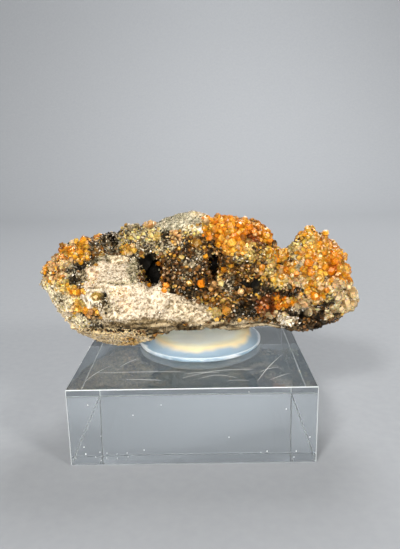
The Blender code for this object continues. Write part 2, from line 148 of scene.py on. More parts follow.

# Each ground: two rock colours that noise mixes, how deep it is pressed in, and its crystals, each
# with its share of the ground and its smallest and largest radius in millimetres; where crystals
# crowd, the rock colours are kept dark partly as painted shade in the gaps between them
GROUNDS = {
    "hollow": ((0.002, 0.0012, 0.0006), (0.06, 0.036, 0.014), 0.4, (
        ("brown", 0.24, 0.35, 1.05), ("amber", 0.06, 0.35, 1.1), ("smoky", 0.22, 0.3, 0.7),
        ("yellow", 0.09, 0.25, 0.65), ("pink", 0.13, 0.25, 0.65), ("tan", 0.08, 0.25, 0.45),
        ("sage", 0.06, 0.25, 0.45), ("cream", 0.08, 0.2, 0.4),)),
    # painted shadow: the pits are pressed in and painted near-black for the shade deep inside them
    "pit": ((0.001, 0.001, 0.0005), (0.004, 0.003, 0.002), 1.6, ()),
    "crown": ((0.22, 0.04, 0.002), (0.55, 0.17, 0.01), 0.5, (
        ("vivid", 0.78, 0.45, 1.5), ("gold", 0.14, 0.45, 1.2), ("pink", 0.08, 0.3, 0.8),)),
    "apricot": ((0.16, 0.05, 0.006), (0.50, 0.24, 0.04), 0.4, (
        ("gold", 0.22, 0.5, 1.4), ("amber", 0.20, 0.5, 1.2), ("vivid", 0.14, 0.6, 1.5),
        ("pink", 0.22, 0.4, 1.1), ("yellow", 0.12, 0.4, 1.0), ("brown", 0.10, 0.4, 0.8),)),
    "golden": ((0.24, 0.11, 0.02), (0.66, 0.40, 0.10), 0.3, (
        ("gold", 0.32, 0.45, 1.4), ("vivid", 0.14, 0.5, 1.5), ("pink", 0.36, 0.4, 1.3),
        ("yellow", 0.08, 0.4, 0.9), ("buff", 0.06, 0.3, 0.9), ("brown", 0.04, 0.35, 0.6),)),
    "pale": ((0.10, 0.08, 0.04), (0.90, 0.82, 0.58), 0.1, (
        ("cream", 0.50, 0.25, 0.7), ("yellow", 0.16, 0.3, 0.7), ("sage", 0.12, 0.2, 0.5),
        ("smoky", 0.12, 0.2, 0.45),)),
    "lemon": ((0.14, 0.09, 0.02), (0.58, 0.43, 0.17), 0.2, (
        ("yellow", 0.42, 0.4, 1.0), ("pink", 0.14, 0.35, 0.9), ("gold", 0.12, 0.4, 1.0),
        ("amber", 0.08, 0.4, 0.9), ("cream", 0.05, 0.3, 0.6), ("sage", 0.05, 0.3, 0.6),
        ("brown", 0.08, 0.3, 0.6), ("smoky", 0.06, 0.25, 0.5),)),
    "blush": ((0.22, 0.12, 0.045), (0.68, 0.46, 0.23), 0.2, (
        ("pink", 0.52, 0.45, 1.3), ("buff", 0.20, 0.45, 1.1), ("gold", 0.12, 0.5, 1.1),
        ("vivid", 0.08, 0.6, 1.1), ("brown", 0.08, 0.4, 0.7),)),
    "peach": ((0.02, 0.01, 0.004), (0.42, 0.24, 0.10), 0.2, (
        ("pink", 0.36, 0.4, 1.1), ("yellow", 0.14, 0.4, 0.9), ("brown", 0.16, 0.4, 0.9),
        ("amber", 0.12, 0.45, 1.0), ("vivid", 0.05, 0.5, 1.1), ("buff", 0.08, 0.3, 0.8),
        ("smoky", 0.08, 0.3, 0.6),)),
    "russet": ((0.004, 0.002, 0.001), (0.22, 0.12, 0.035), 0.3, (
        ("brown", 0.28, 0.35, 1.0), ("amber", 0.10, 0.35, 0.95), ("yellow", 0.15, 0.3, 0.7),
        ("pink", 0.16, 0.3, 0.75), ("smoky", 0.16, 0.3, 0.7), ("tan", 0.08, 0.25, 0.5),
        ("cream", 0.05, 0.2, 0.4),)),
    "ember": ((0.006, 0.001, 0.0005), (0.14, 0.025, 0.003), 0.2, (
        ("ember", 0.68, 0.5, 1.15), ("brown", 0.16, 0.4, 0.8), ("smoky", 0.1, 0.3, 0.5),)),
    "cap": ((0.50, 0.40, 0.24), (0.84, 0.72, 0.50), 0.1, (
        ("cream", 0.6, 0.3, 0.6), ("yellow", 0.15, 0.4, 0.7),)),
    "granite": ((0.10, 0.10, 0.065), (0.62, 0.58, 0.44), 0.1, (
        ("sage", 0.45, 0.22, 0.45), ("cream", 0.32, 0.22, 0.45), ("smoky", 0.14, 0.2, 0.35),)),
    "sugar": ((0.006, 0.005, 0.003), (0.44, 0.38, 0.22), 0.2, (
        ("sage", 0.20, 0.3, 0.7), ("yellow", 0.16, 0.4, 0.9), ("smoky", 0.18, 0.3, 0.65),
        ("brown", 0.08, 0.3, 0.7), ("cream", 0.26, 0.3, 0.8), ("amber", 0.05, 0.4, 0.8),
        ("glint", 0.05, 0.25, 0.55),)),
    "coal": ((0.001, 0.001, 0.0005), (0.07, 0.048, 0.022), 0.4, (
        ("smoky", 0.46, 0.3, 0.85), ("brown", 0.18, 0.3, 0.7), ("sage", 0.10, 0.25, 0.5),
        ("tan", 0.10, 0.25, 0.5), ("cream", 0.05, 0.2, 0.45), ("glint", 0.01, 0.2, 0.3),)),
    "ash": ((0.002, 0.0015, 0.001), (0.42, 0.36, 0.24), 0.3, (
        ("smoky", 0.36, 0.3, 0.65), ("brown", 0.06, 0.3, 0.6), ("sage", 0.10, 0.3, 0.6),
        ("cream", 0.22, 0.3, 0.65), ("tan", 0.12, 0.3, 0.5), ("glint", 0.12, 0.25, 0.5),)),
    "feldspar": ((0.11, 0.085, 0.055), (0.74, 0.64, 0.50), 0.0, (
        ("cream", 0.70, 0.2, 0.42), ("tan", 0.14, 0.18, 0.35), ("glint", 0.07, 0.2, 0.4),
        ("smoky", 0.02, 0.18, 0.28),)),
    "rosy": ((0.16, 0.10, 0.065), (0.74, 0.58, 0.43), 0.0, (
        ("buff", 0.50, 0.2, 0.45), ("cream", 0.24, 0.2, 0.4), ("tan", 0.1, 0.18, 0.35),)),
    "speckled": ((0.13, 0.10, 0.06), (0.68, 0.58, 0.43), 0.05, (
        ("cream", 0.46, 0.2, 0.4), ("tan", 0.18, 0.2, 0.35), ("smoky", 0.12, 0.2, 0.32),
        ("sage", 0.2, 0.2, 0.35),)),
    "mossy": ((0.06, 0.055, 0.03), (0.50, 0.44, 0.30), 0.1, (
        ("sage", 0.40, 0.2, 0.5), ("cream", 0.34, 0.2, 0.5), ("smoky", 0.18, 0.2, 0.4),)),
    "white": ((0.40, 0.33, 0.22), (0.82, 0.75, 0.60), 0.0, (
        ("cream", 0.5, 0.4, 1.3), ("glint", 0.16, 0.4, 1.0), ("sage", 0.1, 0.3, 0.6),)),
    "chip": ((0.10, 0.07, 0.04), (0.90, 0.82, 0.64), 0.0, (
        ("cream", 0.42, 0.35, 0.9), ("glint", 0.34, 0.35, 0.9), ("smoky", 0.06, 0.3, 0.5),)),
    "crust": ((0.02, 0.012, 0.006), (0.82, 0.62, 0.36), 0.1, (
        ("buff", 0.34, 0.6, 1.5), ("cream", 0.16, 0.35, 0.9), ("pink", 0.08, 0.4, 1.1),
        ("gold", 0.04, 0.4, 0.9), ("brown", 0.12, 0.35, 0.8), ("smoky", 0.22, 0.3, 0.8),)),
    "dusk": ((0.002, 0.0015, 0.001), (0.08, 0.05, 0.024), 0.3, (
        ("smoky", 0.42, 0.35, 1.0), ("brown", 0.24, 0.35, 0.9), ("tan", 0.14, 0.3, 0.7),
        ("cream", 0.03, 0.3, 0.5),)),
    "lip": ((0.010, 0.007, 0.004), (0.54, 0.44, 0.29), 0.1, (
        ("smoky", 0.1, 0.2, 0.4), ("tan", 0.08, 0.2, 0.4),)),
    "band": ((0.02, 0.015, 0.008), (0.38, 0.30, 0.18), 0.1, (
        ("tan", 0.2, 0.2, 0.45), ("smoky", 0.14, 0.2, 0.4),)),
    "ochre": ((0.20, 0.12, 0.045), (1.0, 0.80, 0.46), 0.0, (
        ("tan", 0.14, 0.25, 0.5), ("cream", 0.36, 0.25, 0.55), ("brown", 0.05, 0.2, 0.4),
        ("smoky", 0.07, 0.2, 0.32),)),
    "rust": ((0.20, 0.10, 0.03), (1.0, 0.70, 0.32), 0.1, (
        ("gold", 0.12, 0.3, 0.6), ("tan", 0.12, 0.25, 0.5), ("cream", 0.15, 0.25, 0.5),
        ("brown", 0.12, 0.3, 0.6),)),
}

# Grounds that are mostly light, below 0, or mostly dark, above it
DARKNESS = {
    "feldspar": -0.22, "rosy": -0.25, "white": -0.3, "cap": -0.25, "chip": -0.05, "granite": -0.05,
    "ochre": -0.2, "crust": 0.14, "ash": 0.18, "sugar": 0.08, "coal": 0.24, "band": 0.05, "hollow": 0.22,
    "russet": 0.1, "ember": 0.15, "dusk": 0.26, "pale": -0.1, "peach": 0.12,
}

# Opal glass colours from the disc's middle, 0, to its rim, 1: the warm band is painted light coming
# through the glass, and the pale white at the rim a painted highlight
OPAL_COLOURS_AND_PAINTED_LIGHT = (
    (0.0, (0.92, 0.97, 0.88)),
    (0.60, (0.92, 0.95, 0.83)),
    (0.70, (0.94, 0.86, 0.62)),
    (0.80, (0.88, 0.66, 0.38)),
    (0.87, (0.28, 0.38, 0.48)),
    (0.97, (0.22, 0.34, 0.46)),
    (1.0, (0.72, 0.80, 0.86)),
)

# Scratches on the block's top, each a bowed line: start, end and bow, in millimetres
SCRATCHES = (
    ((-3.0, -30.5), (19.5, -24.5), 2.2), ((-2.5, -27.5), (8.5, -27.0), 1.0),
    ((2.0, -31.5), (14.0, -31.0), 2.6), ((-31.0, -25.5), (-4.0, -25.5), 0.2),
    ((-20.5, -31.0), (-9.5, -32.0), 0.3), ((-24.0, -21.0), (-19.0, -14.0), 0.4),
    ((11.0, -33.0), (17.5, -33.0), 0.4), ((21.5, -27.0), (28.0, -23.0), 0.6),
    ((-33.5, -33.0), (-27.5, -20.0), 0.8), ((24.0, -33.0), (31.0, -28.0), 0.3),
    ((20.0, -34.0), (31.0, -12.0), 0.6),
)

# Dust on the block's front face, by its places in the view
FRONT_DUST = (
    (76, 458), (86, 454), (96, 457), (100, 452), (101, 460), (102, 456), (107, 453), (107, 458),
    (117, 454), (117, 458), (127, 453), (128, 457), (101, 436), (84, 447), (161, 405), (133, 415),
    (261, 452), (267, 451), (286, 409), (229, 437), (144, 450), (88, 405), (249, 392), (284, 393),
    (310, 437), (296, 451), (294, 457),
)

# Patches of ground on the show face, painted in this order over the hollow: ground, then middle
# across and down, half width and half height in the view, and a turn in degrees if it has one
PATCHES = (
    ("feldspar", 122, 290, 40, 34, 8), ("feldspar", 160, 306, 36, 18, 8),
    ("speckled", 192, 311, 26, 13, 14), ("rosy", 89, 276, 9, 11, 20), ("rosy", 120, 292, 9, 5),
    ("mossy", 128, 281.5, 24, 2.2, -4), ("band", 95, 287, 7, 1.6, 5), ("rosy", 126, 306, 8, 5, 20),
    ("speckled", 110, 312, 10, 8, 20), ("band", 148, 327, 34, 8, -3), ("band", 118, 328, 20, 5, 3),
    ("lip", 232, 328, 84, 7, -1), ("ochre", 110, 340, 52, 10, 4), ("ochre", 76, 331, 20, 7, 25),
    ("rust", 130, 343, 9, 5, 10), ("pale", 66, 312, 16, 18, -30), ("pale", 54, 294, 12, 12, -30),
    ("ochre", 66, 322, 6, 9, -30), ("pale", 54, 282, 13, 8), ("lemon", 66, 285, 8, 10),
    ("pale", 78, 321, 14, 6, 20), ("mossy", 60, 297, 6, 6), ("pale", 70, 309, 11, 7),
    ("ash", 61, 302, 3, 3), ("feldspar", 67, 313, 5, 5), ("peach", 50, 268, 15, 15, 25),
    ("peach", 66, 257, 13, 9, -30), ("peach", 80, 245, 15, 12, -30), ("russet", 95, 246, 13, 12),
    ("apricot", 82, 243, 7, 9, 10), ("apricot", 80, 254, 8, 6), ("apricot", 65, 252, 6, 5),
    ("apricot", 99, 232, 6, 5), ("blush", 63, 263, 5, 4), ("ash", 96, 249, 7, 7),
    ("ash", 112, 241, 13, 13), ("coal", 108, 231, 5, 5), ("ash", 76, 274, 11, 12),
    ("coal", 80, 266, 5, 3, 30), ("coal", 71, 279, 3, 5, -20), ("ash", 90, 262, 7, 4, -10),
    ("mossy", 106, 258, 14, 4), ("russet", 98, 252, 6, 4), ("mossy", 134, 268, 8, 12),
    ("ash", 133, 257, 10, 3.5), ("speckled", 120, 260, 9, 4), ("apricot", 75, 292, 8, 5, 10),
    ("lemon", 79, 302, 5, 4), ("golden", 80, 309, 8, 5), ("golden", 91, 312, 6, 5),
    ("white", 89, 299, 8, 7), ("lemon", 96, 297, 5, 4), ("ash", 105, 305, 6, 10, -10),
    ("coal", 83, 314, 4, 3), ("ash", 95, 325, 8, 6), ("speckled", 105, 320, 6, 6),
    ("pit", 103, 295, 3.4, 4.6, -20), ("pit", 94.5, 307, 2.4, 4), ("pit", 98, 332, 8, 3.4),
    ("sugar", 132, 236, 13, 14), ("sugar", 152, 240, 16, 18), ("blush", 149, 224, 5, 5),
    ("lemon", 158, 234, 4, 5), ("golden", 130, 249, 7, 5), ("ash", 172, 240, 14, 9),
    ("coal", 132, 242, 3, 2.5), ("ash", 147, 247, 8, 6), ("coal", 166, 234, 5, 4),
    ("granite", 178, 221, 24, 11, -8), ("sugar", 190, 234, 10, 4), ("pale", 190, 227, 8, 4),
    ("cap", 205, 215, 14, 4, 8), ("golden", 211, 222, 9, 5), ("white", 203, 229, 6, 3),
    ("peach", 176, 237, 6, 7, 30), ("apricot", 209, 234, 6, 5), ("russet", 198, 243, 7, 6),
    ("crown", 233, 224, 21, 13, 18), ("crown", 228, 237, 13, 11, 20), ("crown", 263, 232, 13, 9, 30),
    ("apricot", 236, 247, 14, 8), ("ember", 252, 238, 11, 5, 12), ("pit", 248, 237, 6, 4, 10),
    ("lemon", 253, 252, 9, 11), ("russet", 263, 250, 8, 8), ("lemon", 270, 262, 11, 14),
    ("russet", 262, 269, 5, 11), ("apricot", 263, 272, 3, 6), ("lemon", 275, 282, 14, 9),
    ("golden", 279, 253, 9, 8), ("russet", 268, 281, 6, 5), ("ash", 280, 268, 5, 4),
    ("russet", 246, 268, 12, 8), ("russet", 226, 268, 9, 6), ("sugar", 240, 258, 9, 5),
    ("russet", 219, 286, 9, 6), ("coal", 192, 291, 14, 5), ("ash", 190, 262, 9, 6),
    ("ash", 199, 254, 7, 5), ("ash", 185, 274, 5, 5), ("ash", 228, 286, 7, 9),
    ("coal", 262, 289, 16, 5, 5), ("coal", 248, 310, 14, 8), ("pit", 246, 303, 8, 3),
    ("pit", 235, 276, 4, 3), ("pit", 246, 283, 4, 3), ("lemon", 217, 311, 7, 6),
    ("russet", 224, 303, 12, 9), ("russet", 206, 298, 7, 6), ("lemon", 298, 250, 11, 10),
    ("mossy", 297, 257, 5, 6), ("sugar", 296, 244, 7, 4), ("golden", 320, 258, 22, 18),
    ("apricot", 306, 233, 9, 8, -30), ("lemon", 313, 240, 8, 7), ("apricot", 327, 242, 12, 8, 38),
    ("golden", 320, 253, 13, 8), ("crown", 335, 264, 11, 12), ("crown", 308, 267, 7, 8),
    ("golden", 290, 270, 10, 9), ("mossy", 299, 263, 4, 6), ("blush", 318, 267, 6, 4),
    ("golden", 347, 264, 7, 12), ("crown", 343, 277, 8, 5), ("golden", 315, 281, 10, 8),
    ("blush", 300, 281, 9, 6), ("golden", 316, 293, 11, 10), ("blush", 336, 284, 9, 7),
    ("peach", 291, 287, 7, 5), ("crust", 346, 298, 14, 15), ("sugar", 329, 299, 7, 7),
    ("coal", 272, 293, 14, 4, 5), ("dusk", 296, 293, 12, 4, 5), ("blush", 304, 301, 10, 6),
    ("apricot", 293, 301, 7, 4), ("dusk", 302, 315, 14, 7), ("dusk", 322, 314, 18, 11),
    ("dusk", 315, 325, 32, 6), ("crust", 313, 311, 5, 3), ("crust", 331, 312, 6, 4),
    ("chip", 325, 318, 2.5, 2.5), ("band", 341, 321, 4, 6, 30), ("ember", 268, 306, 10, 9),
    ("crown", 280, 302, 7, 4), ("crust", 277, 315, 10, 4), ("coal", 272, 320, 5, 2),
    ("chip", 289, 321, 9, 5), ("chip", 280, 319, 4, 3), ("chip", 299, 308, 7, 3.5),
    ("pit", 303, 313, 6, 4), ("pit", 318, 325, 12, 3), ("russet", 143, 276, 7, 5, 40),
    ("pit", 148, 261, 10, 8), ("pit", 151, 269, 9, 8, -20), ("pit", 155, 278, 6, 7),
    ("pit", 214, 265, 3.6, 11), ("pit", 115, 251.5, 8, 3.5, 6), ("pit", 281.5, 262, 2.4, 2.4),
    ("pit", 336, 276, 3, 3), ("pit", 255, 284, 6, 4), ("pit", 172, 290, 4, 3, 30),
    # Thin painted shadow lines along the rock's underside, above the disc, down to the thin dusk line
    ("pit", 178, 328, 22, 1.2, -8), ("pit", 206, 328.5, 14, 1.2, 8), ("pit", 150, 333, 13, 1.1, -8),
    ("dusk", 122, 331, 30, 1.3, 3), ("pale", 41, 284, 6, 5),
)

# Hollows and lumps of the show face: how deep each is pressed in, in millimetres, below 0 for a
# lump, then its place in the view, as for a patch
RELIEF = (
    (2.4, 117, 236, 6, 11), (1.2, 141, 230, 3, 9), (-1.3, 132, 231, 8, 9), (-1.2, 151, 226, 7, 7),
    (-1.5, 309, 229, 10, 10, -20), (3.0, 148, 262, 9, 8), (2.0, 153, 274, 6, 9, -20),
    (1.5, 214, 265, 3.4, 11), (-1.6, 354, 298, 7, 11), (1.3, 250, 238, 9, 4, 10), (-0.9, 228, 222, 10, 9),
    (-0.7, 246, 226, 6, 7), (-0.7, 264, 232, 8, 7, 30), (0.9, 256, 225, 2.5, 8),
    (0.9, 120, 333, 52, 3, 2), (-0.9, 348, 290, 6, 5), (-0.7, 345, 305, 7, 4), (1.1, 338, 291, 9, 3, 20),
    (1.7, 301, 312, 15, 3.5), (1.1, 182, 268, 16, 9), (1.6, 250, 300, 15, 9), (1.2, 97, 330, 9, 4),
    (0.9, 104, 300, 4, 9, -10), (0.9, 76, 274, 9, 10), (0.8, 89, 262, 9, 4, -10),
    (0.7, 96, 287, 9, 1.8, 5), (0.7, 110, 261, 12, 2.2, 8), (0.5, 128, 281, 22, 1.8, -6),
    (0.4, 170, 300, 20, 2, 10), (0.9, 40, 284, 5, 4), (-1.0, 290, 321, 9, 5), (-1.0, 303, 302, 8, 5),
    (-0.8, 62, 284, 10, 6, -20), (-0.9, 88, 300, 8, 7), (-0.8, 199, 244, 7, 6), (-0.8, 252, 253, 8, 9),
    (1.1, 276, 294, 14, 3.5, 5),
)

# The back and the underside: ground and share
BACK_SHARES = (
    ("russet", 0.14), ("sugar", 0.14), ("band", 0.16), ("mossy", 0.12), ("feldspar", 0.30),
    ("coal", 0.07), ("apricot", 0.07),
)

# Crystals that stand out on the show face: habit, across and down in the view, and radius in
# millimetres
# Some of the small glint ones stand for painted highlights
SOLITAIRES = (
    ("vivid", 200, 284, 1.9), ("amber", 189.5, 283, 1.4), ("vivid", 165, 286, 1.5),
    ("vivid", 164, 291, 1.2), ("vivid", 148.5, 286, 1.2), ("brown", 177, 283, 1.3),
    ("amber", 197, 243, 1.9), ("vivid", 206, 257, 1.3), ("yellow", 181, 258, 1.3),
    ("vivid", 159, 263, 1.2), ("pink", 164, 268, 0.8), ("vivid", 224, 269, 1.4), ("pink", 218, 253, 1.0),
    ("yellow", 221, 283, 1.4), ("amber", 206, 298, 1.2), ("yellow", 216, 311, 1.8),
    ("amber", 226, 311, 1.9), ("yellow", 223, 302, 1.2), ("pink", 241, 292, 1.4), ("pink", 256, 270, 1.1),
    ("glint", 234, 312, 0.7), ("glint", 325, 318, 0.6), ("glint", 243, 314, 0.5), ("sage", 291, 286, 1.3),
    ("pink", 255, 235, 1.0), ("vivid", 231, 265, 1.2), ("amber", 130, 248, 1.6),
    ("yellow", 158, 235, 1.3), ("vivid", 99, 232, 1.7), ("vivid", 84, 241, 1.7), ("vivid", 80, 254, 1.8),
    ("vivid", 65, 252, 1.4), ("pink", 73, 243, 1.4), ("vivid", 76, 292, 1.6), ("amber", 78, 302, 1.3),
    ("pink", 150, 225, 1.5), ("pink", 176, 233, 1.2), ("vivid", 209, 234, 1.4), ("vivid", 288, 270, 1.8),
    ("vivid", 308, 264, 2.0), ("vivid", 310, 272, 1.6), ("vivid", 316, 296, 1.9),
    ("amber", 320, 288, 1.7), ("vivid", 335, 262, 1.8), ("vivid", 330, 270, 1.9),
    ("vivid", 343, 277, 1.7), ("vivid", 306, 234, 1.4), ("pink", 315, 269, 1.2), ("pink", 304, 302, 2.1),
    ("pink", 336, 284, 1.7), ("glint", 288, 319, 1.0), ("glint", 293, 322, 1.0), ("glint", 281, 317, 0.9),
    ("glint", 296, 319, 0.9), ("glint", 284, 321, 0.8), ("cream", 290, 324, 1.2), ("buff", 299, 306, 1.8),
    ("cream", 86, 299, 1.7), ("yellow", 96, 297, 1.7), ("cream", 90, 303, 1.4), ("yellow", 84, 304, 1.2),
    ("cream", 92, 296, 1.2), ("pink", 91, 311, 1.6), ("gold", 79, 309, 1.5), ("glint", 180, 256, 0.7),
    ("glint", 196, 259, 0.8), ("pink", 214, 284, 1.2), ("glint", 344, 262, 0.9), ("buff", 350, 293, 2.2),
    ("buff", 346, 304, 2.0), ("buff", 338, 296, 1.7), ("buff", 353, 300, 1.6), ("gold", 160, 233, 1.2),
    ("cream", 130, 229, 1.6), ("cream", 137, 226, 1.2), ("sage", 127, 233, 1.4), ("gold", 131, 249, 1.5),
    ("gold", 232, 243, 1.8), ("gold", 222, 239, 1.4), ("vivid", 240, 226, 1.6), ("vivid", 226, 220, 1.8),
    ("vivid", 250, 228, 1.5), ("vivid", 262, 228, 1.6), ("gold", 281, 254, 1.5), ("gold", 273, 279, 1.3),
    ("pink", 291, 287, 1.1),
)


# View geometry


def view_axes():
    """The view's right, up and forward directions."""
    pitch, yaw, roll = (math.radians(angle) for angle in (PITCH, YAW, ROLL))
    forward = Vector((math.sin(yaw) * math.cos(pitch), math.cos(yaw) * math.cos(pitch), -math.sin(pitch)))
    level = Vector((math.cos(yaw), -math.sin(yaw), 0))
    upright = level.cross(forward)
    right = math.cos(roll) * level + math.sin(roll) * upright
    up = -math.sin(roll) * level + math.cos(roll) * upright
    return right, up, forward


def focal_length():
    """The distance, in picture units, at which the picture is as large as it is seen."""
    return LENS / SENSOR * max(PICTURE)


def seen_at(points):
    """Where points in millimetres lie in the view, across and down."""
    right, up, forward = (np.array(axis) for axis in view_axes())
    away = points - np.array(EYE)
    depth = away @ forward
    across = PICTURE[0] / 2 + focal_length() * (away @ right) / depth
    down = PICTURE[1] / 2 - focal_length() * (away @ up) / depth
    return across, down


def sight_line(across, down):
    """The direction from the eye through a place in the view."""
    right, up, forward = view_axes()
    line = forward + right * ((across - PICTURE[0] / 2) / focal_length())
    line += up * ((PICTURE[1] / 2 - down) / focal_length())
    return line.normalized()


# Mesh and noise helpers


def mesh_arrays(mesh):
    """A mesh's points in millimetres and their normals."""
    count = len(mesh.vertices)
    points = np.empty(count * 3, dtype=np.float32)
    normals = np.empty(count * 3, dtype=np.float32)
    mesh.vertices.foreach_get("co", points)
    mesh.vertices.foreach_get("normal", normals)
    return points.reshape(-1, 3).astype(float) / MM, normals.reshape(-1, 3).astype(float)


def set_points(mesh, points):
    mesh.vertices.foreach_set("co", (points * MM).astype(np.float32).ravel())
    mesh.update()


def finished_mesh(bm, name):
    mesh = bpy.data.meshes.new(name)
    bm.to_mesh(mesh)
    bm.free()
    return mesh


def new_piece(name, data):
    """An object in the scene, from a mesh, a lamp or a camera."""
    piece = bpy.data.objects.new(name, data)
    bpy.context.scene.collection.objects.link(piece)
    return piece


def paint(mesh, colours, domain="POINT"):
    """Stores one colour a point or a face corner, as the tint that the materials read."""
    layer = mesh.color_attributes.new("tint", "FLOAT_COLOR", domain)
    rgba = np.ones((len(colours), 4), dtype=np.float32)
    rgba[:, :3] = colours / np.maximum(1, colours.max(axis=1))[:, None]
    layer.data.foreach_set("color", rgba.ravel())


def smooth_step(low, high, value):
    part = np.clip((value - low) / (high - low), 0, 1)
    return part * part * (3 - 2 * part)


def fractal(points, size, octaves, seed):
    """Noise from about -1 to 1 at each point, in lumps of the given size in millimetres."""
    shift = Vector((seed, seed * 1.7, -seed))
    places = (Vector(point) / size + shift for point in points.tolist())
    return np.array([noise.fractal(place, 1.0, 2.0, octaves) for place in places])


def grain_domes(points, size, seed):
    """Packed grains: 1 at each grain's middle, falling to 0 where grains meet."""
    shift = Vector((seed, -seed, seed * 0.6))
    domes = []
    for point in points.tolist():
        near, next_near = noise.voronoi(Vector(point) / size + shift)[0][:2]
        domes.append(min(1.0, (next_near - near) * GRAIN_STEEPNESS))
    return np.array(domes)


# Grounds


def ground_weights(points):
    """How much each ground holds at each point: an array of points by grounds, each row adding to 1."""
    names = list(GROUNDS)
    across, down = bent_places(points, PATCH_BEND, octaves=4, seeds=(3.1, 8.7))
    weights = np.zeros((len(points), len(names)))
    weights[:, names.index("hollow")] = 1
    for ground, *spot in PATCHES:
        soft = min(MOST_BLUR, PATCH_BLUR / min(spot[2], spot[3]))
        held = smooth_step(1 + soft, 1 - soft, spot_distance(across, down, spot))
        weights *= (1 - held)[:, None]
        weights[:, names.index(ground)] += held
    behind = 1 - front_share(points)
    weights *= (1 - behind)[:, None]
    spot_places, spot_grounds = back_spots()
    bends = [fractal(points, size=6.0, octaves=3, seed=seed) for seed in (12.5, 15.5, 18.5)]
    for index, point in enumerate((points + BACK_BEND * np.stack(bends, axis=1)).tolist()):
        if behind[index] > 0:
            weights[index, names.index(spot_grounds[spot_places.find(point)[1]])] += behind[index]
    return weights / weights.sum(axis=1)[:, None]


def bent_places(points, bend, octaves, seeds):
    """Where points lie in the view, across and down, each bent by a noise of its own."""
    places = zip(seen_at(points), seeds)
    return [place + bend * fractal(points, size=4.0, octaves=octaves, seed=seed) for place, seed in places]


def back_spots():
    """Places scattered over the back and underside, and the ground around each."""
    rng = np.random.default_rng(BACK_SEED)
    low, high = (np.array(corner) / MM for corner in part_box("matrix_rock"))
    tree = kdtree.KDTree(BACK_SPOTS)
    for index, spot in enumerate(rng.uniform(low, high, (BACK_SPOTS, 3)).tolist()):
        tree.insert(spot, index)
    tree.balance()
    grounds, shares = zip(*BACK_SHARES)
    return tree, rng.choice(grounds, size=BACK_SPOTS, p=shares).tolist()


def front_share(points):
    """1 on the show face, falling to 0 behind it."""
    bend = BACK_BEND * fractal(points, size=7.0, octaves=2, seed=5.5)
    return 1 - smooth_step(BACK_STARTS, BACK_FULL, points[:, 1] + bend)


def spot_distance(across, down, spot):
    """How far each place in the view is from a tilted ellipse's middle: 1 on its outline."""
    middle_across, middle_down, half_width, half_height = spot[:4]
    angle = math.radians(spot[4]) if len(spot) > 4 else 0
    shift_across = across - middle_across
    shift_down = down - middle_down
    along = (shift_across * math.cos(angle) + shift_down * math.sin(angle)) / half_width
    beside = (-shift_across * math.sin(angle) + shift_down * math.cos(angle)) / half_height
    return np.hypot(along, beside)


def relief_depth(points):
    """How deep the show face is pressed in at each point."""
    across, down = bent_places(points, RELIEF_BEND, octaves=2, seeds=(21.0, 27.0))
    depth = np.zeros(len(points))
    for deep, *spot in RELIEF:
        depth += deep * smooth_step(RELIEF_EDGE, RELIEF_FLAT, spot_distance(across, down, spot))
    return depth * front_share(points)


def ground_mix(weights, column):
    """A column of the grounds' table, mixed by how much each ground holds at each point."""
    return weights @ np.array([ground[column] for ground in GROUNDS.values()])


def share_of(weights, parts):
    """How much the named grounds hold at each point, each counted by its part."""
    names = list(GROUNDS)
    return sum(part * weights[:, names.index(name)] for name, part in parts.items())


# The rock


def joined_solids(names):
    """The given solids' meshes in one mesh."""
    bm = bmesh.new()
    for name in names:
        bm.from_mesh(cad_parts[name].data)
    return finished_mesh(bm, "joined")


def voxel_skin(mesh, voxel):
    """One even closed mesh around all of a mesh's shells."""
    piece = new_piece("skin", mesh)
    remesh = piece.modifiers.new("skin", "REMESH")
    remesh.mode = "VOXEL"
    remesh.voxel_size = voxel * MM
    graph = bpy.context.evaluated_depsgraph_get()
    skin = bpy.data.meshes.new_from_object(piece.evaluated_get(graph), depsgraph=graph)
    bpy.data.objects.remove(piece)
    return skin


def tone(points):
    """Broad lighter and darker areas of the rock."""
    return 1 + TONE_STRENGTH * fractal(points, TONE_SIZE, octaves=3, seed=33.0)


def speckle(points, weights):
    """The small light and dark spots of the rock: above 0 where it is light."""
    darkness = np.array([DARKNESS.get(name, 0.0) for name in GROUNDS])
    return fractal(points, SPECKLE_SIZE, octaves=3, seed=1.3) - weights @ darkness


def warmed(shares):
    """Shares of light for red, green and blue, so that darker means browner."""
    return shares[:, None] ** np.array(WARMTH)


def rock_lift(points, weights, grains, layers):
    """How far each point of the rock's skin moves out."""
    lumps = LUMP_LIFT * fractal(points, LUMP_SIZE, octaves=3, seed=4.0)
    lift = GRAIN_LIFT * (2 * grains - 1) + lumps * (1 - share_of(weights, SMOOTHER))
    lift += LAYER_LIFT * layers * share_of(weights, LAYERED)
    lift -= SINK * (1 - share_of(weights, BARE)) * front_share(points)
    return lift - (ground_mix(weights, 2) + relief_depth(points))


def rock_colours(points, weights, grains, layers):
    """Each ground's two colours, mixed by spots, grains and streaks, with painted shade in the grooves
    between layers.
    """
    spots = smooth_step(-SPECKLE_EDGE, SPECKLE_EDGE, speckle(points, weights))
    light = (1 - GRAIN_SHOW) * spots + GRAIN_SHOW * smooth_step(*GRAIN_SHADES, grains)
    streaks = fractal(points * np.array(STREAK_SQUEEZE), size=1.0, octaves=3, seed=9.0)
    streaks = smooth_step(-SPECKLE_EDGE, SPECKLE_EDGE, streaks)
    light += (streaks - light) * share_of(weights, STREAKED)
    # painted shade: darker where the layers sink into grooves
    light *= 1 - share_of(weights, GROOVE_SHADED) * smooth_step(*GROOVE_SHADE_RANGE, -layers)
    low, high = ground_mix(weights, 0), ground_mix(weights, 1)
    return (low + (high - low) * warmed(light)) * tone(points)[:, None]


